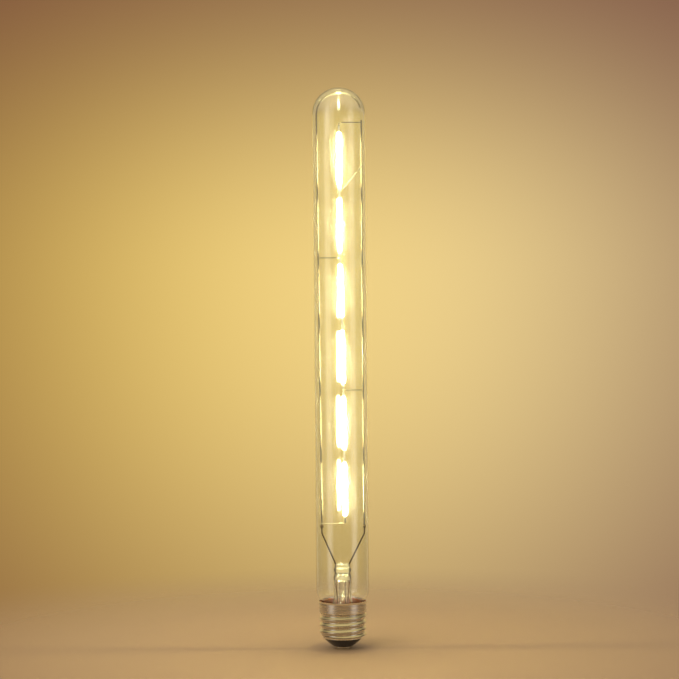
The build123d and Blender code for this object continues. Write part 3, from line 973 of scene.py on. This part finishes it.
def coat_mesh(index):
    """A soft coat with rounded ends, lit along its middle."""
    upper = joint(index)
    lower = joint(index + 1)
    along = (upper - lower).normalized()
    side = Vector((along.z, 0, -along.x))
    centre = (upper + lower) / 2 + Vector((0, layer(index) * strip_thickness / 2, 0))
    body = bmesh.new()
    glow_layer = body.verts.layers.float.new("glow")
    rings = []
    for step in range(coat_steps + 1):
        place = (step / coat_steps - 0.5) * coat_length
        from_end = coat_length / 2 - abs(place)
        inset = 1 - min(from_end / coat_end_round, 1)
        swell = coat_end_share + (1 - coat_end_share) * math.sqrt(max(0.0, 1 - inset**2))
        lump = 1 + coat_lump * noise.noise(Vector((index * coat_lump_shift, 0, place * coat_lump_scale)))
        glow = end_glow + (1 - end_glow) * min(1.0, from_end / end_glow_run) ** end_glow_power
        ring = []
        for across, deep in section_shares(coat_sides, coat_flatness):
            point = centre + along * place
            point += side * (across * coat_width / 2 * swell * lump)
            point += Vector((0, deep * coat_depth / 2 * swell * lump, 0))
            vertex = body.verts.new(point)
            vertex[glow_layer] = glow
            ring.append(vertex)
        rings.append(ring)
    for lower_ring, upper_ring in zip(rings, rings[1:]):
        bridge(body, lower_ring, upper_ring)
    body.faces.new(rings[0])
    body.faces.new(rings[-1])
    return turned_out(body, bpy.data.meshes.new("coat"))


for index in range(filament_count):
    name = f"filament_{index + 1}"
    keep_piece(f"{name}_lit_coat", coat_mesh(index), lit_coat, "filament_coat", f"{name}_coat")
    dress(nodes[f"{name}_strip"].data, strip_metal)


# Cross wires
def cross_piece(name, corners, depth, material=nickel_wire):
    """A thin wire from a support wire to the chain."""
    path = divided(rounded_path(corners, cross_bend_radius, depth), wire_spacing)
    wire_piece(name, path, cross_diameter, material, "cross_wire", f"{name}_wire", sides=cross_sides)


upper_joint = joint(2)
middle_joint = joint(4)
steady_foot = joint(1)
steady_top = steady_foot.z + steady_rise
top_joint = joint(0)
last_joint = joint(filament_count)
cross_piece(
    "upper_cross",
    [(left_x(upper_joint.z) - cross_tail, upper_joint.z), (upper_joint.x + strip_width / 2, upper_joint.z)],
    -cross_offset,
)
cross_piece(
    "middle_cross",
    [
        (right_x(middle_joint.z) + cross_tail, middle_joint.z),
        (middle_joint.x - strip_width / 2, middle_joint.z),
    ],
    -cross_offset,
)
cross_piece(
    "top_cross",
    [
        (right_x(top_cross_level) + cross_tail, top_cross_level),
        (top_joint.x, top_cross_level),
        (top_joint.x, chain_top - cross_hold),
    ],
    cross_offset,
)
cross_piece(
    "lower_cross",
    [
        (left_x(lower_cross_level) - cross_tail, lower_cross_level),
        (last_joint.x, lower_cross_level),
        (last_joint.x, chain_bottom + cross_hold),
    ],
    -cross_offset,
    satin_wire,
)
cross_piece(
    "steady",
    [
        (right_x(steady_top) + cross_tail / 2, steady_top),
        (steady_foot.x + coat_width / 2 + steady_foot_gap, steady_foot.z + steady_foot_rise),
    ],
    -cross_offset,
    dull_wire,
)


# Weld nuggets where wires meet
def random_vector(tree, seed, low, high):
    """A random vector for each point."""
    node = add(tree, "FunctionNodeRandomValue", low, high, seed=seed)
    node.data_type = "FLOAT_VECTOR"
    return node.outputs["Value"]


def make_weld_nuggets():
    """A small molten blob at each point, each turned and sized a little differently."""
    tree, start, end = shape_tree("weld_nuggets", ("Radius", "Float"), ("Seed", "Int"))
    seed = start.outputs["Seed"]
    spots = add(tree, "GeometryNodeMeshToPoints", start.outputs["Geometry"])
    blob = add(tree, "GeometryNodeMeshIcoSphere", radius=start.outputs["Radius"], subdivisions=3)
    tilt = random_vector(tree, seed, (-0.6, -0.6, -0.6), (0.6, 0.6, 0.6))
    stretch = random_vector(tree, seed, (0.8, 0.55, 0.8), (1.2, 0.75, 1.3))
    nuggets = add(tree, "GeometryNodeInstanceOnPoints", spots, instance=blob, rotation=tilt, scale=stretch)
    close_tree(tree, nuggets, start, end)
    return tree


weld_spots = [
    (left_x(upper_joint.z), -weld_depth, upper_joint.z),
    (left_x(lower_cross_level), -weld_depth, lower_cross_level),
    (right_x(middle_joint.z), -weld_depth, middle_joint.z),
    (right_x(top_cross_level), weld_depth, top_cross_level),
    (right_x(steady_top), -weld_depth, steady_top),
    (upper_joint.x, -weld_depth, upper_joint.z),
    (middle_joint.x, -weld_depth, middle_joint.z),
    (left_x(crook_weld_level), -weld_depth, crook_weld_level),
]
spot_mesh = bpy.data.meshes.new("weld_spots")
spot_mesh.from_pydata(weld_spots, [], [])
nugget_mesh = run_tree(
    make_weld_nuggets(), spot_mesh, {"Radius": 0.42 * MM, "Seed": 7, "Material": nickel_wire}
)
keep_piece("weld_nuggets", nugget_mesh, nickel_wire, "cross_wire")


# Copper winding on the choke
def winding_path():
    """A coil that climbs round the core of the choke."""
    centre = (winding_low + winding_high) / 2
    radius = (winding_high.x - winding_low.x - winding_wire) / 2
    low = winding_low.z + winding_wire / 2
    high = winding_high.z - winding_wire / 2
    steps = winding_turns * coil_steps
    points = []
    for step in range(steps + 1):
        turn = 2 * math.pi * step / coil_steps
        level = low + (high - low) * step / steps
        points.append(Vector((centre.x + radius * math.cos(turn), centre.y + radius * math.sin(turn), level)))
    return points


choke_coil = winding_path()
wire_piece(
    "wound_choke", choke_coil, winding_wire, copper, "copper_lead", "choke_winding", sides=winding_sides
)


# Basing cement
def cement_mesh():
    """A lumpy ring with a ragged top, between the neck and the skirt."""
    body = bmesh.new()
    low = cement_low.z
    columns = []
    for step in range(cement_columns):
        turn = 2 * math.pi * step / cement_columns
        out = Vector((math.cos(turn), math.sin(turn), 0))
        ragged = sum(noise.noise(out * scale) * height for scale, height in cement_waves)
        high = cement_high.z + (ragged - cement_top_drop) * MM
        column = []
        for row in range(cement_rows + 1):
            level = low + (high - low) * row / cement_rows
            spot = Vector((out.x * lump_scale, out.y * lump_scale, level * lump_level_scale))
            lump = noise.noise(spot) * cement_lump
            radius = shoulder_radius_at(level, neck_radius, tube_radius) + 2 * hairline + abs(lump)
            radius = min(radius, skirt_inner_radius - cement_sink)
            column.append(body.verts.new(out * radius + Vector((0, 0, level))))
        middle_radius = (column[-1].co.to_2d().length + skirt_inner_radius) / 2
        crown_level = high + (crown_rise + crown_lump * noise.noise(out * crown_lump_scale)) * MM
        edge = out * (skirt_inner_radius - hairline)
        column.append(body.verts.new(out * middle_radius + Vector((0, 0, crown_level))))
        column.append(body.verts.new(edge + Vector((0, 0, high - cement_sink))))
        column.append(body.verts.new(edge + Vector((0, 0, low))))
        columns.append(column)
    for first, second in zip(columns, columns[1:] + columns[:1]):
        bridge(body, first, second)
    return turned_out(body, bpy.data.meshes.new("cement"))


keep_piece("lumpy_cement", cement_mesh(), baked_cement, "cement", "basing_cement")

# Finishes of the solids that stay
solid_finishes = {
    "centre_contact": plated_rivet,
    "cap_insulator": black_glass,
    "insulating_liner": white_moulding,
    "driver_board": board_green,
    "bridge_rectifier": black_plastic,
    "controller_chip": black_plastic,
    "choke_core": black_plastic,
    "smoothing_capacitor": sleeve_plastic,
    "fusible_resistor": lacquer,
    "left_outer_lead": sealed_lead,
    "right_outer_lead": sealed_lead,
    "live_lead": wire_cover,
    "neutral_lead": wire_cover,
}
for name, material in solid_finishes.items():
    dress(nodes[name].data, material)

# Room: a wall with a painted pool of the lamp's light behind the lamp, on a patch of painted shade. Its spans
# are parts of a direction of length 1
# Colours of the painted shade round the lamp and of the painted pool of its light
painted_shade_colour = paint(112, 64, 57)
left_glow_colour = paint(238, 202, 100)
right_glow_colour = paint(242, 216, 157)
bent_glow_colour = paint(240, 210, 126)
pale_colour = paint(216, 190, 136)
front_colour = paint(64, 52, 38)
ceiling_colour = paint(228, 206, 142)
panel_colour = (1.0, 0.96, 0.9, 1.0)
ambient_colour = (0.55, 0.53, 0.5, 1.0)
glow_width = 0.226
glow_height = 0.139
glow_depth = 0.231
glow_level = 0.033
glow_side = 0.2
bent_glow_width = 0.9
bent_glow_height = 0.28
bent_narrowing = 0.45
patch_edge = (0.197, 0.25)
front_span = (0.45, 0.9)
ceiling_span = (0.3, 0.9)
panel_span = (0.6, 0.8)
panel_front_span = (-0.45, -0.2)

# Floor, light and camera, with lengths in metres
floor_colour = paint(192, 157, 114)
floor_drop = 0.1 * MM
floor_fade = (0.08, 0.36)
contact_flat_radius = 3.9 * MM
key_place = Vector((-0.8, -0.9, 0.9))
key_target = Vector((0, 0, 0.15))
camera_place = (-0.0006, -0.962, 0.1745)
camera_roll = math.radians(0.49)
sensor_width = 36.0
picture_pixels = 679
focal_pixels = 1700
light_bounces = 24


def wall_colour(tree, camera_ray, x, y, z):
    """A painted pool of the lamp's light on a darker patch of painted shade on a pale wall, wider where it is
    seen through glass or reflected.
    """
    across = over(tree, x, between(tree, camera_ray, bent_glow_width, glow_width))
    above = minus(tree, z, glow_level)
    height = between(tree, camera_ray, bent_glow_height, glow_height)
    height = between(tree, reckon("GREATER_THAN", tree, above, 0.0), glow_depth, height)
    upward = over(tree, above, height)
    far = plus(tree, times(tree, across, across), times(tree, upward, upward))
    glow = reckon("POWER", tree, math.e, times(tree, far, -1.0))
    to_the_right = spread(tree, x, -glow_side, glow_side, 0.0, 1.0)
    glow_colour = blend_colours(tree, to_the_right, left_glow_colour, right_glow_colour)
    glow_colour = blend_colours(tree, camera_ray, bent_glow_colour, glow_colour)
    lit_patch = blend_colours(tree, glow, painted_shade_colour, glow_colour)
    sideways = times(tree, size_of(tree, x), between(tree, camera_ray, bent_narrowing, 1.0))
    away = ramp(tree, larger(tree, sideways, size_of(tree, z)), *patch_edge)
    away = larger(tree, away, reckon("LESS_THAN", tree, y, 0.0))
    return blend_colours(tree, away, lit_patch, pale_colour)


def room_colour(tree, wall, x, y, z):
    """What shiny surfaces reflect: the wall, a dim room in front, pale floor and ceiling, two panels."""
    panel = times(tree, ramp(tree, size_of(tree, x), *panel_span), fall(tree, y, *panel_front_span))
    colour = blend_colours(tree, fall(tree, y, *front_span), wall, front_colour)
    colour = blend_colours(tree, ramp(tree, size_of(tree, z), *ceiling_span), colour, ceiling_colour)
    return blend_colours(tree, panel, colour, panel_colour)


def make_world():
    """The wall for what is seen straight or through glass, the room for reflections, and an even light."""
    world = bpy.data.worlds.new("room")
    scene.world = world
    world.use_nodes = True
    tree = world.node_tree
    tree.nodes.clear()
    way = add(tree, "ShaderNodeSeparateXYZ", add(tree, "ShaderNodeTexCoord").outputs["Generated"])
    path = add(tree, "ShaderNodeLightPath")
    wall = wall_colour(tree, path.outputs["Is Camera Ray"], *way.outputs)
    room = room_colour(tree, wall, *way.outputs)
    straight = larger(tree, path.outputs["Is Camera Ray"], path.outputs["Is Transmission Ray"])
    unmirrored = reckon("SUBTRACT", tree, straight, path.outputs["Glossy Depth"], clamp=True)
    shown = blend_colours(tree, unmirrored, room, wall)
    seen = larger(tree, straight, path.outputs["Is Glossy Ray"])
    light = add(tree, "ShaderNodeBackground", blend_colours(tree, seen, ambient_colour, shown))
    add(tree, "ShaderNodeOutputWorld", surface=light)


def floor_material():
    """A pale floor that fades into the wall, and is clear from below and under the centre contact."""
    material, tree, shader, output = new_material("pale_floor")
    fill(tree, shader, base_color=floor_colour, roughness=0.8)
    reach = add(tree, "ShaderNodeVectorMath", place_on_piece(tree))
    reach.operation = "LENGTH"
    distance = reach.outputs["Value"]
    side = add(tree, "ShaderNodeNewGeometry")
    path = add(tree, "ShaderNodeLightPath")
    below = times(tree, side.outputs["Backfacing"], path.outputs["Is Camera Ray"])
    covered = reckon("LESS_THAN", tree, distance, contact_flat_radius)
    clear = larger(tree, larger(tree, ramp(tree, distance, *floor_fade), below), covered)
    let_through(tree, clear, shader, output)
    return material


def make_floor():
    """A round floor just under the lamp, facing up."""
    body = bmesh.new()
    bmesh.ops.create_circle(body, cap_ends=True, radius=0.4, segments=96)
    bmesh.ops.translate(body, verts=body.verts, vec=(0, 0, -floor_drop))
    made = bpy.data.meshes.new("floor")
    body.to_mesh(made)
    body.free()
    dress(made, floor_material())
    floor = bpy.data.objects.new("floor", made)
    scene.collection.objects.link(floor)


def make_key_light():
    """One large soft light from the front left, not seen in reflections."""
    data = bpy.data.lights.new("soft_key", "AREA")
    data.size = 1.0
    data.energy = 7.0
    data.color = (1.0, 0.95, 0.88)
    key = bpy.data.objects.new("soft_key", data)
    key.location = key_place
    key.rotation_euler = (key_target - key_place).to_track_quat("-Z", "Y").to_euler()
    key.visible_glossy = False
    scene.collection.objects.link(key)


def make_camera():
    """A level camera, rolled a little, so that the lamp leans to the left by half a degree."""
    data = bpy.data.cameras.new("camera")
    data.sensor_width = sensor_width
    data.lens = sensor_width * focal_pixels / picture_pixels
    camera = bpy.data.objects.new("camera", data)
    right = Vector((math.cos(camera_roll), 0, -math.sin(camera_roll)))
    up = Vector((math.sin(camera_roll), 0, math.cos(camera_roll)))
    back = Vector((0, -1, 0))
    turn = Matrix((right, up, back)).transposed().to_4x4()
    camera.matrix_world = Matrix.Translation(camera_place) @ turn
    scene.collection.objects.link(camera)
    scene.camera = camera


make_world()
make_floor()
make_key_light()
make_camera()
scene.view_settings.view_transform = "Standard"
scene.cycles.max_bounces = light_bounces
scene.cycles.transmission_bounces = light_bounces
scene.cycles.sample_clamp_indirect = 0.0
scene.cycles.caustics_reflective = False
scene.cycles.caustics_refractive = False
